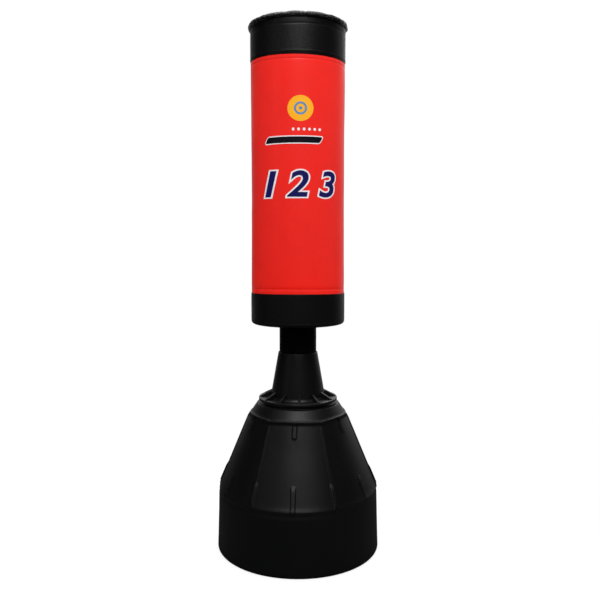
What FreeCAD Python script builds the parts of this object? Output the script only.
import FreeCAD, Part
import math
import operator
import os

import Sketcher
from FreeCAD import Placement, Rotation, Vector

# A free-standing punching bag: a hollow base tank for water or sand, a gusseted pedestal screwed into
# its mouth, and a padded bag on a plastic tube that stands in the pedestal's socket.
# Millimetres. +Z is up, the floor is at Z = 0, the bag's axis is Z and the front faces -Y.

DRIVING_SIZES = [
    # the base tank
    ("base_radius", 263.4),
    ("foot_round", 8),
    ("foot_land", 36),
    ("foot_recess", 6),
    ("skirt_draft", 5),
    ("skirt_height", 184),
    ("skirt_step", 1.1),
    ("skirt_step_rise", 2),
    ("shoulder_rise", 16),
    ("shoulder_round", 10),
    ("tank_wall", 5),
    ("cone_top_radius", 158),
    ("cone_top_height", 438),
    ("lip_reach", 1.4),
    ("lip_height", 3.5),
    ("lip_width", 4.2),
    ("lip_round", 1),
    ("collar_rise", 41),
    ("rim_width", 14.5),
    ("rim_round", 3),
    ("neck_wall", 13),
    ("neck_rise", 7),
    ("neck_round", 1.5),
    ("mouth_radius", 105),
    ("mouth_depth", 50),
    ("mouth_sleeve_wall", 6),
    # the raised marks moulded round the cone
    ("mark_width", 15),
    ("mark_relief", 2),
    ("mark_overlap", 1),
    ("tab_drop", 41),
    ("tab_count", 6),
    ("rib_rise", 70),
    ("rib_foot_rise", 3),
    ("rib_foot_drop", 8),
    ("rib_crown", 1.5),
    ("rib_count", 12),
    ("bead_width", 3.2),
    ("bead_relief", 1.2),
    ("bead_foot_rise", 8),
    # the coarse thread between the tank's mouth and the pedestal
    ("thread_pitch", 10),
    ("thread_depth", 3.4),
    ("thread_root", 4.4),
    ("thread_tip", 1.6),
    ("thread_gap", 1.6),
    # the fill hole and its screw plug, at the back of the cone
    ("plug_height", 330),
    ("plug_bore_radius", 19.5),
    ("plug_bore_depth", 16),
    ("boss_wall", 6),
    ("boss_land", 4),
    ("boss_rise", 3.5),
    ("boss_round", 1),
    ("plug_head_overlap", 7.5),
    ("plug_head_height", 6),
    ("plug_head_round", 1.5),
    ("plug_foot_round", 0.8),
    ("plug_stem_round", 1),
    ("plug_stem_length", 12),
    ("plug_pitch", 4),
    ("plug_thread_depth", 1.2),
    ("plug_thread_tip", 0.6),
    ("plug_seal_height", 2),
    ("plug_seal_inset", 1),
    ("plug_gap", 0.3),
    ("grip_height", 8),
    ("grip_width", 8),
    ("grip_inset", 5),
    ("grip_round", 3),
    # the pedestal
    ("gasket_height", 2.7),
    ("gasket_overhang", 1),
    ("flange_overhang", 9),
    ("flange_height", 8.8),
    ("flange_round", 1.5),
    ("hub_step", 6.3),
    ("hub_rise", 5),
    ("hub_round", 2),
    ("pedestal_flare", 24.7),
    ("pedestal_rise", 151.3),
    ("pedestal_rim_wall", 3),
    ("pedestal_rim_round", 1.2),
    ("pedestal_wall", 4),
    ("solid_top", 40),
    ("web_drop", 8),
    ("spigot_drop", 58.7),
    ("spigot_round", 2),
    ("socket_floor", 6),
    ("gusset_margin", 6),
    ("gusset_foot_height", 1.5),
    ("gusset_rise", 24),
    ("gusset_head", 2),
    ("gusset_round", 3),
    ("gusset_width", 4.5),
    ("gusset_count", 12),
    ("gusset_turn", 5.8),
    # the tube and what it stands on
    ("tube_radius", 59.5),
    ("tube_wall", 5),
    ("socket_gap", 0.5),
    ("buffer_height", 6),
    ("slip_ring_height", 4),
    ("slip_ring_width", 18),
    ("tube_showing", 93),
    ("cap_height", 4),
    ("cap_spigot", 20),
    ("cap_wall", 3),
    # the bag
    ("bag_radius", 150.4),
    ("bag_height", 917),
    ("bottom_band_height", 100),
    ("top_band_height", 105.5),
    ("top_band_inset", 0.8),
    ("cover_inset", 1.4),
    ("cover_waist", 1.8),
    ("cover_skin", 1.5),
    ("bottom_round", 10),
    ("hem_width", 2),
    ("piping_radius", 7),
    ("piping_clearance", 0.5),
    ("top_sink", 2),
    ("top_pad_height", 34),
    ("pad_clearance", 0.3),
    ("board_height", 15),
    ("board_edge", 4),
    ("inner_foam_wall", 45.2),
    ("tube_hole_gap", 0.3),
    # the wood screws that hold the boards to the tube
    ("screw_radius", 2.5),
    ("screw_length", 40),
    ("screw_head_radius", 5),
    ("screw_head_height", 3),
    ("screw_gap", 0.05),
    ("screw_seat", 0.3),
    ("screw_margin", 1),
]
SCREWS_PER_BOARD = 4
RIDGES_PER_THREAD = 4
RIDGES_PER_PLUG = 3
BURIED = 1  # how far a feature runs into the material that it joins, or past what it cuts


class Size:
    """A size with its number and the spreadsheet formula that gives it, kept together."""

    def __init__(self, number, formula):
        self.number = number
        self.formula = formula

    def __add__(self, other):
        return worked_out(self, "+", other)

    def __radd__(self, other):
        return worked_out(other, "+", self)

    def __sub__(self, other):
        return worked_out(self, "-", other)

    def __rsub__(self, other):
        return worked_out(other, "-", self)

    def __mul__(self, other):
        return worked_out(self, "*", other)

    def __rmul__(self, other):
        return worked_out(other, "*", self)

    def __truediv__(self, other):
        return worked_out(self, "/", other)

    def __neg__(self):
        return worked_out(0, "-", self)


SIGNS = {"+": operator.add, "-": operator.sub, "*": operator.mul, "/": operator.truediv}


def as_size(value):
    return value if isinstance(value, Size) else Size(float(value), str(value))


def worked_out(left, sign, right):
    left = as_size(left)
    right = as_size(right)
    number = SIGNS[sign](left.number, right.number)
    return Size(number, f"({left.formula} {sign} {right.formula})")


class Sizes:
    """The driving sizes, each an attribute under its own name."""

    def __init__(self, sheet, rows):
        for row, (name, number) in enumerate(rows, start=1):
            sheet.set(f"A{row}", name)
            sheet.set(f"B{row}", str(number))
            sheet.setAlias(f"B{row}", name)
            setattr(self, name, Size(float(number), f"{sheet.Name}.{name}"))


doc = FreeCAD.newDocument("punching_bag")
sheet = doc.addObject("Spreadsheet::Sheet", "Sizes")
size = Sizes(sheet, DRIVING_SIZES)
doc.recompute()


# Shared ways of making things


def bind(thing, path, value):
    """Ties one property of an object to the spreadsheet."""
    thing.setExpression(path, as_size(value).formula)


def origin_item(body, role):
    return next(item for item in body.Origin.OriginFeatures if item.Role == role)


def new_body(label):
    body = doc.addObject("PartDesign::Body", label)
    body.Label = label
    return body


def sketch_on(body, role, name):
    sketch = body.newObject("Sketcher::SketchObject", name)
    sketch.AttachmentSupport = (origin_item(body, role), [""])
    sketch.MapMode = "FlatFace"
    return sketch


def place_point(sketch, geometry, position, across, up):
    """Holds a point of the sketch at its two distances from the sketch's origin."""
    for direction, distance in (("DistanceX", across), ("DistanceY", up)):
        distance = as_size(distance)
        index = sketch.addConstraint(
            Sketcher.Constraint(direction, -1, 1, geometry, position, distance.number)
        )
        bind(sketch, f"Constraints[{index}]", distance)


def corner_arc(before, corner, after, radius):
    """The arc that rounds a corner: its two tangent points and the arc, from one to the other."""
    to_before = (before - corner).normalize()
    to_after = (after - corner).normalize()
    half = to_before.getAngle(to_after) / 2
    reach = radius / math.tan(half)
    first = corner + to_before * reach
    last = corner + to_after * reach
    centre = corner + (to_before + to_after).normalize() * (radius / math.sin(half))
    turns_left = to_before.cross(to_after).z < 0
    start, end = (first, last) if turns_left else (last, first)
    angles = [math.atan2(point.y - centre.y, point.x - centre.x) for point in (start, end)]
    if angles[1] < angles[0]:
        angles[1] += 2 * math.pi
    arc = Part.ArcOfCircle(Part.Circle(centre, Vector(0, 0, 1), radius), *angles)
    return first, last, arc, turns_left


def draw_outline(sketch, corners):
    """Draws a closed outline through corners given as (across, up) or (across, up, rounding)."""
    places = [Vector(as_size(c[0]).number, as_size(c[1]).number, 0) for c in corners]
    count = len(corners)
    arcs = {}
    for i, corner in enumerate(corners):
        if len(corner) == 3:
            radius = as_size(corner[2]).number
            arcs[i] = corner_arc(places[i - 1], places[i], places[(i + 1) % count], radius)
    lines = []
    for i in range(count):
        j = (i + 1) % count
        start = arcs[i][1] if i in arcs else places[i]
        end = arcs[j][0] if j in arcs else places[j]
        lines.append(sketch.addGeometry(Part.LineSegment(start, end)))
    for i, corner in enumerate(corners):
        line_in = lines[i - 1]
        line_out = lines[i]
        if i not in arcs:
            sketch.addConstraint(Sketcher.Constraint("Coincident", line_in, 2, line_out, 1))
            place_point(sketch, line_out, 1, corner[0], corner[1])
            continue
        arc = sketch.addGeometry(arcs[i][2])
        first_end, last_end = (1, 2) if arcs[i][3] else (2, 1)
        sketch.addConstraint(Sketcher.Constraint("Tangent", line_in, 2, arc, first_end))
        sketch.addConstraint(Sketcher.Constraint("Tangent", line_out, 1, arc, last_end))
        point = sketch.addGeometry(Part.Point(places[i]), True)
        sketch.addConstraint(Sketcher.Constraint("PointOnObject", point, 1, line_in))
        sketch.addConstraint(Sketcher.Constraint("PointOnObject", point, 1, line_out))
        place_point(sketch, point, 1, corner[0], corner[1])
        radius = as_size(corner[2])
        index = sketch.addConstraint(Sketcher.Constraint("Radius", arc, radius.number))
        bind(sketch, f"Constraints[{index}]", radius)


def turned(body, name, corners, cut=False, sketch=None):
    """Turns an outline of (radius, height) corners a full circle, to add to the body or cut it."""
    sketch = sketch or sketch_on(body, "XZ_Plane", name + "_outline")
    draw_outline(sketch, corners)
    kind = "PartDesign::Groove" if cut else "PartDesign::Revolution"
    feature = body.newObject(kind, name)
    feature.Profile = sketch
    feature.ReferenceAxis = (sketch, ["V_Axis"])
    feature.Angle = 360
    return feature


def turned_piece(label, corners):
    body = new_body(label)
    turned(body, label + "_turned", corners)
    return body


def slab(body, name, role, corners, width):
    """Adds a flat slab, centred on one of the body's upright planes."""
    sketch = sketch_on(body, role, name + "_outline")
    draw_outline(sketch, corners)
    pad = body.newObject("PartDesign::Pad", name)
    pad.Profile = sketch
    pad.Midplane = True
    bind(pad, "Length", width)
    return pad


def around(body, name, feature, count):
    """Repeats a feature evenly round the body's Z axis."""
    pattern = body.newObject("PartDesign::PolarPattern", name)
    pattern.Originals = [feature]
    pattern.Axis = (origin_item(body, "Z_Axis"), [""])
    pattern.Angle = 360
    bind(pattern, "Occurrences", count)
    body.Tip = pattern
    return pattern


def upwards(body, name, feature, count, pitch):
    """Repeats a feature up the body's Z axis."""
    pattern = body.newObject("PartDesign::LinearPattern", name)
    pattern.Originals = [feature]
    pattern.Direction = (origin_item(body, "Z_Axis"), [""])
    bind(pattern, "Length", pitch * (count - 1))
    pattern.Occurrences = count
    body.Tip = pattern
    return pattern


def on_line(height, low, high):
    """The radius at a height on the straight line between two (radius, height) points."""
    return low[0] + (height - low[1]) * (high[0] - low[0]) / (high[1] - low[1])


def ring(inner, outer, bottom, top):
    return [(inner, bottom), (outer, bottom), (outer, top), (inner, top)]


# Heights and radii that several pieces share

shoulder_radius = size.base_radius - size.skirt_draft - size.skirt_step
shoulder_height = size.skirt_height + size.shoulder_rise
cone_foot = (shoulder_radius, shoulder_height)
cone_top = (size.cone_top_radius, size.cone_top_height)
lip_top = size.cone_top_height + size.lip_height
rim_height = size.cone_top_height + size.collar_rise
neck_radius = size.mouth_radius + size.neck_wall
neck_top = rim_height + size.neck_rise
mouth_bottom = neck_top - size.mouth_depth
flange_radius = neck_radius + size.flange_overhang
flange_bottom = neck_top + size.gasket_height
flange_top = flange_bottom + size.flange_height
hub_top = flange_top + size.hub_rise
pedestal_top = flange_bottom + size.pedestal_rise
spigot_bottom = flange_bottom - size.spigot_drop
socket_radius = size.tube_radius + size.socket_gap
pedestal_rim_radius = socket_radius + size.pedestal_rim_wall
pedestal_foot_radius = pedestal_rim_radius + size.pedestal_flare
socket_floor_top = spigot_bottom + size.socket_floor
slip_ring_bottom = socket_floor_top + size.buffer_height
tube_foot = slip_ring_bottom + size.slip_ring_height
bag_bottom = pedestal_top + size.tube_showing
bag_top = bag_bottom + size.bag_height
bottom_seam = bag_bottom + size.bottom_band_height
top_seam = bag_top - size.top_band_height
cover_middle = (bottom_seam + top_seam) / 2
cover_radius = size.bag_radius - size.cover_inset
top_band_radius = size.bag_radius - size.top_band_inset
tube_hole_radius = size.tube_radius + size.tube_hole_gap
foam_split_radius = tube_hole_radius + size.inner_foam_wall
board_bottom = bag_bottom + size.cover_skin
board_top = board_bottom + size.board_height
piping_centre = bag_top + size.piping_radius
top_cover_top = piping_centre - size.top_sink
top_pad_top = top_cover_top - size.cover_skin
top_board_top = top_pad_top - size.top_pad_height
top_board_bottom = top_board_top - size.board_height
bottom_screws = board_bottom + size.board_height / 2
tube_top = top_board_top - size.cap_height
top_screws = tube_top - size.screw_head_radius - size.screw_margin
plug_head_radius = size.plug_bore_radius + size.plug_head_overlap
boss_radius = plug_head_radius + size.boss_land


# The base: tank, pedestal, gasket and the rubber pad in the socket


def thread_ridge(body, name, root_radius, tip_radius, height, bite):
    """One ridge of a coarse thread: widest where it meets its wall, which it runs into by bite."""
    half_root = size.thread_root / 2
    half_tip = size.thread_tip / 2
    corners = [
        (root_radius + bite, height - half_root),
        (root_radius, height - half_root),
        (tip_radius, height - half_tip),
        (tip_radius, height + half_tip),
        (root_radius, height + half_root),
        (root_radius + bite, height + half_root),
    ]
    return turned(body, name, corners)


def cone_mark(body, name, role, side, low, high, relief, width, crown=None, foot=None):
    """A raised strip that runs straight up the cone between two heights.

    side is -1 or 1: which way along the plane's level axis the strip lies. crown rounds its upper end,
    and foot adds a (radius, height) corner where the strip turns down over the shoulder."""
    buried = size.tank_wall / 2
    top_corner = (side * (on_line(high, cone_foot, cone_top) + relief), high)
    if crown is not None:
        top_corner += (crown,)
    corners = [
        (side * (on_line(low, cone_foot, cone_top) + relief), low),
        top_corner,
        (side * (on_line(high, cone_foot, cone_top) - buried), high),
    ]
    if foot is None:
        corners.append((side * (on_line(low, cone_foot, cone_top) - buried), low))
    else:
        corners.append((side * (foot[0] - buried), foot[1]))
        corners.append((side * foot[0], foot[1]))
    return slab(body, name, role, corners, width)


def plug_sketch(body, name):
    """A sketch whose upright axis is the fill plug's axis, with its origin on the cone's face."""
    sketch = sketch_on(body, "YZ_Plane", name)
    bind(sketch, "AttachmentOffset.Base.x", plug_seat_radius)
    bind(sketch, "AttachmentOffset.Base.y", size.plug_height)
    sketch.setExpression("AttachmentOffset.Rotation.Angle", plug_lean_formula)
    return sketch


plug_seat_radius = on_line(size.plug_height, cone_foot, cone_top)
cone_slope = (cone_foot[0] - cone_top[0]) / (cone_top[1] - cone_foot[1])
plug_lean_formula = f"atan({cone_slope.formula}) - 90 deg"


def make_base_tank():
    body = new_body("base_tank")
    wall = size.tank_wall
    lip_radius = size.cone_top_radius + size.lip_reach
    rim_radius = neck_radius + size.rim_width
    floor_inner = size.base_radius - size.foot_land
    sleeve_radius = size.mouth_radius + size.mouth_sleeve_wall
    collar_inset = wall * 0.8  # the wall measured level, where the collar slopes
    cone_inset = wall * 1.1  # and at the top of the cone
    shoulder_inset = wall * 0.2  # and measured upright, at the shoulder
    corners = [
        (0, size.foot_recess),
        (floor_inner - size.foot_recess, size.foot_recess),
        (floor_inner, 0),
        (size.base_radius, 0, size.foot_round),
        (size.base_radius - size.skirt_draft, size.skirt_height),
        (shoulder_radius, size.skirt_height + size.skirt_step_rise),
        (shoulder_radius, shoulder_height, size.shoulder_round),
        (size.cone_top_radius, size.cone_top_height),
        (lip_radius, size.cone_top_height),
        (lip_radius - size.lip_reach, lip_top, size.lip_round),
        (lip_radius - size.lip_width, lip_top),
        (rim_radius, rim_height, size.rim_round),
        (neck_radius, rim_height),
        (neck_radius, neck_top, size.neck_round),
        (size.mouth_radius, neck_top),
        (size.mouth_radius, mouth_bottom),
        (sleeve_radius, mouth_bottom),
        (sleeve_radius, rim_height - wall),
        (rim_radius - collar_inset, rim_height - wall),
        (size.cone_top_radius - cone_inset, size.cone_top_height),
        (shoulder_radius - wall, shoulder_height - shoulder_inset),
        (size.base_radius - wall, wall, wall),
        (floor_inner, wall),
        (floor_inner - size.foot_recess, wall + size.foot_recess),
        (0, wall + size.foot_recess),
    ]
    turned(body, "tank_shell", corners)

    marks_top = size.cone_top_height + size.mark_overlap
    tab = cone_mark(
        body, "tab", "YZ_Plane", -1, size.cone_top_height - size.tab_drop, marks_top,
        size.lip_reach, size.mark_width,
    )
    around(body, "tabs", tab, size.tab_count)
    rib = cone_mark(
        body, "rib", "YZ_Plane", -1, shoulder_height + size.rib_foot_rise, shoulder_height + size.rib_rise,
        size.mark_relief, size.mark_width, crown=size.rib_crown,
        foot=(shoulder_radius + size.skirt_step, shoulder_height - size.rib_foot_drop),
    )
    around(body, "ribs", rib, size.rib_count)
    bead = cone_mark(
        body, "bead", "XZ_Plane", 1, shoulder_height + size.bead_foot_rise, marks_top,
        size.bead_relief, size.bead_width,
    )
    around(body, "beads", bead, size.tab_count)

    ridge = thread_ridge(
        body, "mouth_ridge", size.mouth_radius, size.mouth_radius - size.thread_depth,
        mouth_bottom + size.thread_pitch / 2, BURIED,
    )
    upwards(body, "mouth_thread", ridge, RIDGES_PER_THREAD, size.thread_pitch)

    boss_sleeve = size.plug_bore_radius + size.boss_wall
    boss = [
        (size.plug_bore_radius - BURIED, -size.plug_bore_depth),
        (boss_sleeve, -size.plug_bore_depth),
        (boss_sleeve, BURIED - wall),
        (boss_radius, BURIED - wall),
        (boss_radius, size.boss_rise, size.boss_round),
        (size.plug_bore_radius - BURIED, size.boss_rise),
    ]
    turned(body, "fill_boss", boss, sketch=plug_sketch(body, "fill_boss_outline"))
    bore = ring(0, size.plug_bore_radius, -size.plug_bore_depth - wall, size.boss_rise + wall)
    turned(body, "fill_hole", bore, cut=True, sketch=plug_sketch(body, "fill_hole_outline"))
    return body


def make_pedestal():
    body = new_body("pedestal")
    wall = size.pedestal_wall
    hub_radius = pedestal_foot_radius + size.hub_step
    cone_low = (pedestal_foot_radius, hub_top)
    cone_high = (pedestal_rim_radius, pedestal_top)
    spigot_radius = size.mouth_radius - size.thread_depth - size.thread_gap
    corners = [
        (0, spigot_bottom),
        (spigot_radius, spigot_bottom, size.spigot_round),
        (spigot_radius, flange_bottom),
        (flange_radius, flange_bottom, size.flange_round),
        (flange_radius, flange_top, size.flange_round),
        (hub_radius, flange_top),
        (hub_radius, hub_top, size.hub_round),
        (pedestal_foot_radius, hub_top),
        (pedestal_rim_radius, pedestal_top, size.pedestal_rim_round),
        (socket_radius, pedestal_top, size.pedestal_rim_round),
        (socket_radius, socket_floor_top),
        (0, socket_floor_top),
    ]
    turned(body, "pedestal_turned", corners)

    sleeve_radius = socket_radius + wall
    cavity_top = pedestal_top - size.solid_top
    cavity_top_radius = on_line(cavity_top, cone_low, cone_high) - wall
    hollow_radius = spigot_radius - wall
    cavity = [
        (sleeve_radius, spigot_bottom - BURIED),
        (hollow_radius, spigot_bottom - BURIED),
        (hollow_radius, flange_bottom - wall),
        (pedestal_foot_radius - wall, hub_top - wall),
        (cavity_top_radius, cavity_top),
        (sleeve_radius, cavity_top),
    ]
    turned(body, "moulding_cavity", cavity, cut=True)

    web_bottom = spigot_bottom + size.web_drop
    web = [
        (sleeve_radius - BURIED, web_bottom),
        (hollow_radius + BURIED, web_bottom),
        (hollow_radius + BURIED, flange_bottom - wall + BURIED),
        (pedestal_foot_radius - wall + BURIED, hub_top - wall + BURIED),
        (cavity_top_radius + BURIED, cavity_top + BURIED),
        (sleeve_radius - BURIED, cavity_top + BURIED),
    ]
    around(body, "webs", slab(body, "web", "XZ_Plane", web, wall), size.gusset_count)

    gusset_foot = flange_radius - size.gusset_margin
    gusset_top = flange_top + size.gusset_rise
    cone_at_top = on_line(gusset_top, cone_low, cone_high)
    gusset_bottom = flange_top - BURIED * 2
    gusset = [
        (pedestal_foot_radius - BURIED * 3, gusset_bottom),
        (gusset_foot, gusset_bottom),
        (gusset_foot, flange_top + size.gusset_foot_height),
        (cone_at_top + size.gusset_head, gusset_top, size.gusset_round),
        (cone_at_top - BURIED * 2, gusset_top),
    ]
    around(body, "gussets", slab(body, "gusset", "XZ_Plane", gusset, size.gusset_width), size.gusset_count)

    ridge = thread_ridge(
        body, "spigot_ridge", spigot_radius, spigot_radius + size.thread_depth,
        mouth_bottom + size.thread_pitch, -BURIED,
    )
    upwards(body, "spigot_thread", ridge, RIDGES_PER_THREAD, size.thread_pitch)
    bind(body, "Placement.Rotation.Angle", size.gusset_turn)
    return body


def make_flange_gasket():
    overhang = size.gasket_overhang
    return turned_piece(
        "flange_gasket", ring(size.mouth_radius + overhang, neck_radius + overhang, neck_top, flange_bottom)
    )


def make_socket_buffer():
    return turned_piece(
        "socket_buffer", ring(0, socket_radius - size.socket_gap, socket_floor_top, slip_ring_bottom)
    )


# The fill plug and its seal, drawn upright about Z and then laid over onto the cone


def seat_on_cone(body):
    """Lays a body over so that its Z axis is the fill hole's axis, on the back of the cone."""
    body.Placement = Placement(Vector(), Rotation(Vector(1, 0, 0), 1))
    bind(body, "Placement.Base.y", plug_seat_radius)
    bind(body, "Placement.Base.z", size.plug_height)
    body.setExpression("Placement.Rotation.Angle", plug_lean_formula)
    return body


def make_plug_seal():
    seal_bottom = size.boss_rise
    seal_top = seal_bottom + size.plug_seal_height
    inset = size.plug_seal_inset
    outline = ring(size.plug_bore_radius + inset, plug_head_radius - inset, seal_bottom, seal_top)
    return seat_on_cone(turned_piece("plug_seal", outline))


def make_fill_plug():
    body = new_body("fill_plug")
    head_bottom = size.boss_rise + size.plug_seal_height
    head_top = head_bottom + size.plug_head_height
    stem_bottom = size.boss_rise - size.plug_stem_length
    thread_radius = size.plug_bore_radius - size.plug_gap
    stem_radius = thread_radius - size.plug_thread_depth
    corners = [
        (0, stem_bottom),
        (stem_radius, stem_bottom, size.plug_stem_round),
        (stem_radius, head_bottom),
        (plug_head_radius, head_bottom, size.plug_foot_round),
        (plug_head_radius, head_top, size.plug_head_round),
        (0, head_top),
    ]
    turned(body, "plug_turned", corners)
    first_ridge = stem_bottom + size.plug_pitch / 2
    half_root = size.plug_thread_depth
    half_tip = size.plug_thread_tip / 2
    ridge = [
        (stem_radius - BURIED, first_ridge - half_root),
        (stem_radius, first_ridge - half_root),
        (thread_radius, first_ridge - half_tip),
        (thread_radius, first_ridge + half_tip),
        (stem_radius, first_ridge + half_root),
        (stem_radius - BURIED, first_ridge + half_root),
    ]
    upwards(body, "plug_thread", turned(body, "plug_ridge", ridge), RIDGES_PER_PLUG, size.plug_pitch)
    half = plug_head_radius - size.grip_inset
    grip_top = head_top + size.grip_height
    grip = [
        (-half, head_top - BURIED * 2),
        (half, head_top - BURIED * 2),
        (half, grip_top, size.grip_round),
        (-half, grip_top, size.grip_round),
    ]
    slab(body, "grip", "XZ_Plane", grip, size.grip_width)
    return seat_on_cone(body)


# The ring that the bag turns on, the tube and its caps


def make_slip_ring():
    outer = socket_radius - size.socket_gap
    return turned_piece(
        "slip_ring", ring(outer - size.slip_ring_width, outer, slip_ring_bottom, tube_foot)
    )


def screw_holes(body, name, height, radius):
    """Level holes through the wall of a tube or ring, one for each screw round it."""
    sketch = sketch_on(body, "YZ_Plane", name + "_outline")
    circle = sketch.addGeometry(Part.Circle(Vector(0, height.number, 0), Vector(0, 0, 1), radius.number))
    place_point(sketch, circle, 3, 0, height)
    index = sketch.addConstraint(Sketcher.Constraint("Radius", circle, radius.number))
    bind(sketch, f"Constraints[{index}]", radius)
    hole = body.newObject("PartDesign::Pocket", name)
    hole.Profile = sketch
    hole.Reversed = True
    bind(hole, "Length", size.screw_length + size.tube_radius)
    around(body, name + "s", hole, SCREWS_PER_BOARD)


def make_core_tube():
    inner = size.tube_radius - size.tube_wall
    body = turned_piece("core_tube", ring(inner, size.tube_radius, tube_foot + size.cap_height, tube_top))
    hole_radius = size.screw_radius + size.screw_gap * 2
    screw_holes(body, "bottom_screw_hole", bottom_screws, hole_radius)
    screw_holes(body, "top_screw_hole", top_screws, hole_radius)
    return body


def make_tube_cap(label, face, into_tube, screws=None):
    """A lid on one end of the tube. into_tube is 1 if the tube lies above the face, -1 below.

    screws is the height of the screws that pass through its spigot, where there are any."""
    flange_end = face + into_tube * size.cap_height
    spigot_end = flange_end + into_tube * size.cap_spigot
    spigot_radius = size.tube_radius - size.tube_wall
    corners = [
        (0, face),
        (size.tube_radius, face),
        (size.tube_radius, flange_end),
        (spigot_radius, flange_end),
        (spigot_radius, spigot_end),
        (spigot_radius - size.cap_wall, spigot_end),
        (spigot_radius - size.cap_wall, flange_end),
        (0, flange_end),
    ]
    body = turned_piece(label, corners)
    if screws is not None:
        screw_holes(body, label + "_hole", screws, size.screw_radius + size.screw_gap)
    return body


# The bag


def cover_outline(shrink):
    """The (radius, height) corners of the bag's side, from bottom to top, drawn inwards by shrink."""
    return [
        (size.bag_radius - shrink, bottom_seam),
        (cover_radius - shrink, bottom_seam),
        (cover_radius - size.cover_waist - shrink, cover_middle),
        (cover_radius - shrink, top_seam),
        (top_band_radius - shrink, top_seam),
    ]


def make_board(label, bottom, radius, screws):
    top = bottom + size.board_height
    body = turned_piece(label, ring(tube_hole_radius, radius, bottom, top))
    screw_holes(body, label + "_hole", screws, size.screw_radius + size.screw_gap)
    return body


def make_foams():
    skin = size.cover_skin
    inner = turned_piece("inner_foam", ring(tube_hole_radius, foam_split_radius, board_top, top_board_bottom))
    corners = [(foam_split_radius, board_top), (size.bag_radius - skin, board_top)]
    corners += cover_outline(skin)
    corners += [(top_band_radius - skin, top_board_bottom), (foam_split_radius, top_board_bottom)]
    return inner, turned_piece("outer_foam", corners)


def make_top_pad():
    """The pad over the top board. Its edge slopes to clear the round piping."""
    edge_radius = top_band_radius - size.cover_skin
    pad_edge = top_band_radius - size.piping_radius - size.piping_clearance - size.pad_clearance
    corners = [
        (0, top_board_top),
        (edge_radius, top_board_top),
        (edge_radius, bag_top - size.piping_clearance),
        (pad_edge, top_pad_top),
        (0, top_pad_top),
    ]
    return turned_piece("top_pad", corners)


def make_covers():
    skin = size.cover_skin
    waist_radius = cover_radius - size.cover_waist
    main_cover = [
        (cover_radius - skin, bottom_seam),
        (cover_radius, bottom_seam),
        (waist_radius, cover_middle),
        (cover_radius, top_seam),
        (cover_radius - skin, top_seam),
        (waist_radius - skin, cover_middle),
    ]
    hem = size.bag_radius - size.bottom_round - size.hem_width
    bottom_band = [
        (hem, bag_bottom),
        (size.bag_radius, bag_bottom, size.bottom_round),
        (size.bag_radius, bottom_seam),
        (size.bag_radius - skin, bottom_seam),
        (size.bag_radius - skin, board_bottom, size.bottom_round - skin),
        (hem, board_bottom),
    ]
    top_band = ring(top_band_radius - skin, top_band_radius, top_seam, bag_top)
    cover_edge = top_band_radius - size.piping_radius - size.piping_clearance
    return [
        turned_piece("main_cover", main_cover),
        turned_piece("bottom_band", bottom_band),
        turned_piece("top_band", top_band),
        turned_piece("top_cover", ring(0, cover_edge, top_pad_top, top_cover_top)),
        turned_piece("bottom_cover", ring(tube_hole_radius, hem, bag_bottom, board_bottom)),
    ]


def make_top_piping():
    piping = doc.addObject("Part::Torus", "top_piping")
    piping.Label = "top_piping"
    bind(piping, "Radius1", top_band_radius)
    bind(piping, "Radius2", size.piping_radius)
    bind(piping, "Placement.Base.z", piping_centre)
    return piping


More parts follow.
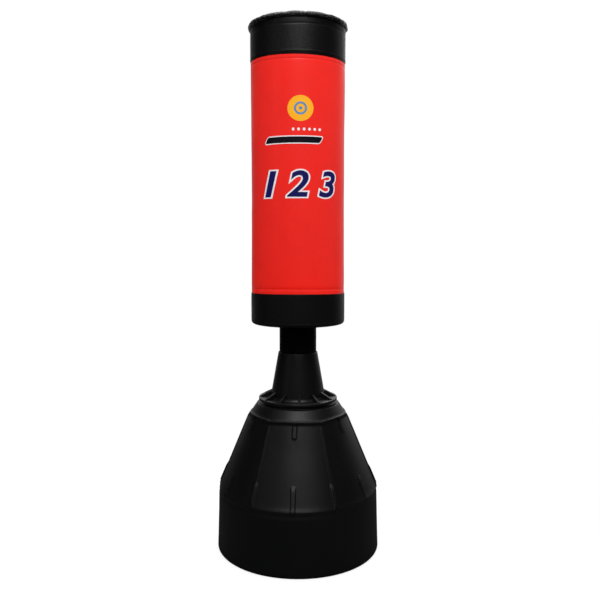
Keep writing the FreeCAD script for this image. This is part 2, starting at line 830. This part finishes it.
def make_screw(name, quarter, height, bearing_radius):
    """One wood screw, driven outwards from inside the tube, a quarter turn on from the one before.

    Its flat head bears on the hollow of the wall at bearing_radius, so it stands off by screw_seat."""
    turn = Rotation(Vector(0, 0, 1), 90 * quarter) * Rotation(Vector(0, 1, 0), 90)
    outward = turn.multVec(Vector(0, 0, 1))
    head_start = bearing_radius - size.screw_head_height - size.screw_seat
    parts = []
    for suffix, radius, length, start in (
        ("head", size.screw_head_radius, size.screw_head_height, head_start),
        ("shank", size.screw_radius, size.screw_length, head_start + size.screw_head_height - BURIED),
    ):
        part = doc.addObject("Part::Cylinder", f"{name}_{suffix}")
        part.Placement = Placement(Vector(), turn)
        bind(part, "Radius", radius)
        bind(part, "Height", length)
        bind(part, "Placement.Base.x", start * round(outward.x))
        bind(part, "Placement.Base.y", start * round(outward.y))
        bind(part, "Placement.Base.z", height)
        parts.append(part)
    screw = doc.addObject("Part::Fuse", name)
    screw.Base, screw.Tool = parts
    return screw


def make_board_screws():
    inside = size.tube_radius - size.tube_wall
    levels = [("bottom", bottom_screws, inside), ("top", top_screws, inside - size.cap_wall)]
    screws = []
    for level, height, bearing_radius in levels:
        for quarter in range(SCREWS_PER_BOARD):
            screws.append(make_screw(f"{level}_screw_{quarter + 1}", quarter, height, bearing_radius))
    group = doc.addObject("Part::Compound", "board_screws")
    group.Label = "board_screws"
    group.Links = screws
    return group


def make_all():
    bottom_board_radius = size.bag_radius - size.bottom_round - size.cover_skin
    top_board_radius = cover_radius - size.cover_skin - size.board_edge
    pieces = [
        make_base_tank(),
        make_pedestal(),
        make_flange_gasket(),
        make_socket_buffer(),
        make_slip_ring(),
        make_plug_seal(),
        make_fill_plug(),
        make_core_tube(),
        make_tube_cap("tube_foot_cap", tube_foot, 1),
        make_tube_cap("tube_top_cap", top_board_top, -1, screws=top_screws),
        make_board("bottom_board", board_bottom, bottom_board_radius, bottom_screws),
        make_board("top_board", top_board_bottom, top_board_radius, top_screws),
        make_board_screws(),
        *make_foams(),
        make_top_pad(),
        *make_covers(),
        make_top_piping(),
    ]
    doc.recompute()
    return pieces


def check(pieces):
    """Stops if any object failed or any piece has no sound shape."""
    failed = [item.Name for item in doc.Objects if {"Invalid", "Error"} & set(item.State)]
    failed += [piece.Label for piece in pieces if piece.Shape.isNull() or not piece.Shape.isValid()]
    if failed:
        raise RuntimeError("these did not build: " + ", ".join(failed))


def export(pieces):
    os.makedirs("parts", exist_ok=True)
    for piece in pieces:
        shape = piece.Shape
        box = shape.BoundBox
        shape.exportStep(f"parts/{piece.Label}.step")
        print(
            f"{piece.Label:16} {len(shape.Solids)} solid  {shape.Volume / 1000:9.1f} cm3  "
            f"z {box.ZMin:7.1f} to {box.ZMax:7.1f}  width {box.XLength:6.1f}"
        )


pieces = make_all()
check(pieces)
export(pieces)
